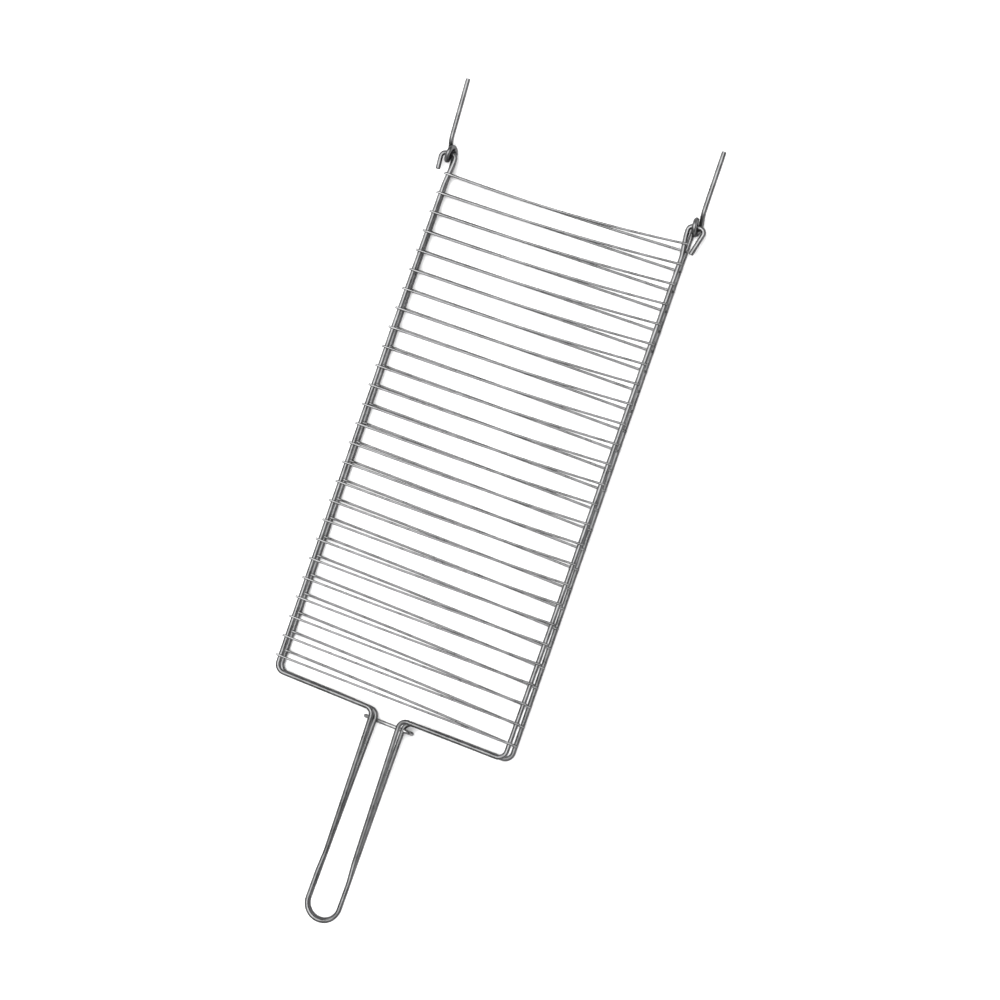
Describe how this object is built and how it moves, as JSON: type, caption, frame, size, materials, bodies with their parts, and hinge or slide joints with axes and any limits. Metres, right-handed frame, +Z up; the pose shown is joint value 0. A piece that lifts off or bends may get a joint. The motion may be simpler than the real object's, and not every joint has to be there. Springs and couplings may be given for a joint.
{
  "type": "grill basket",
  "caption": "Hinged double-grid wire grill basket with a long two-leg wire handle, a sliding locking clip and two far support rods.",
  "frame": {"origin": "centre of the outline on the surface the closed basket lies on", "axes": "+Y from the handle towards the hinge and the far rods, +Z up, +X across the basket, so the handle end is at -Y"},
  "size_m": [0.2876, 0.847, 0.0316],
  "materials": {
    "frame_wire": "bright zinc plating on drawn steel wire, semi-gloss",
    "cross_wire": "bright zinc plating on thin drawn steel wire, semi-gloss",
    "clip_wire": "zinc plating on drawn steel wire, slightly duller than the frames"
  },
  "bodies": {
    "lower_frame": {"lower_frame_wire": "frame_wire", "lower_cross_wire_01": "cross_wire", "lower_cross_wire_02": "cross_wire", "lower_cross_wire_03": "cross_wire", "lower_cross_wire_04": "cross_wire", "lower_cross_wire_05": "cross_wire", "lower_cross_wire_06": "cross_wire", "lower_cross_wire_07": "cross_wire", "lower_cross_wire_08": "cross_wire", "lower_cross_wire_09": "cross_wire", "lower_cross_wire_10": "cross_wire", "lower_cross_wire_11": "cross_wire", "lower_cross_wire_12": "cross_wire", "lower_cross_wire_13": "cross_wire", "lower_cross_wire_14": "cross_wire", "lower_cross_wire_15": "cross_wire", "lower_cross_wire_16": "cross_wire", "lower_cross_wire_17": "cross_wire", "lower_cross_wire_18": "cross_wire", "lower_cross_wire_19": "cross_wire", "lower_cross_wire_20": "cross_wire", "lower_cross_wire_21": "cross_wire", "lower_cross_wire_22": "cross_wire", "lower_cross_wire_23": "cross_wire", "lower_cross_wire_24": "cross_wire", "lower_cross_wire_25": "cross_wire", "lower_cross_wire_26": "cross_wire"},
    "upper_frame": {"upper_frame_wire": "frame_wire", "upper_cross_wire_01": "cross_wire", "upper_cross_wire_02": "cross_wire", "upper_cross_wire_03": "cross_wire", "upper_cross_wire_04": "cross_wire", "upper_cross_wire_05": "cross_wire", "upper_cross_wire_06": "cross_wire", "upper_cross_wire_07": "cross_wire", "upper_cross_wire_08": "cross_wire", "upper_cross_wire_09": "cross_wire", "upper_cross_wire_10": "cross_wire", "upper_cross_wire_11": "cross_wire", "upper_cross_wire_12": "cross_wire", "upper_cross_wire_13": "cross_wire", "upper_cross_wire_14": "cross_wire", "upper_cross_wire_15": "cross_wire", "upper_cross_wire_16": "cross_wire", "upper_cross_wire_17": "cross_wire", "upper_cross_wire_18": "cross_wire", "upper_cross_wire_19": "cross_wire", "upper_cross_wire_20": "cross_wire", "upper_cross_wire_21": "cross_wire", "upper_cross_wire_22": "cross_wire", "upper_cross_wire_23": "cross_wire", "upper_cross_wire_24": "cross_wire", "upper_cross_wire_25": "cross_wire", "upper_cross_wire_26": "cross_wire"},
    "handle_clip": {"handle_clip": "clip_wire"}
  },
  "joints": [
    {"name": "basket_hinge", "type": "hinge", "parent": "lower_frame", "child": "upper_frame", "pos_m": [0, 0.34645, 0.0096], "axis": [-1, 0, 0], "range_deg": [0, 155]},
    {"name": "clip_slide", "type": "slide", "parent": "lower_frame", "child": "handle_clip", "axis": [0, -0.9976, 0.0698], "range_m": [0, 0.165]}
  ]
}
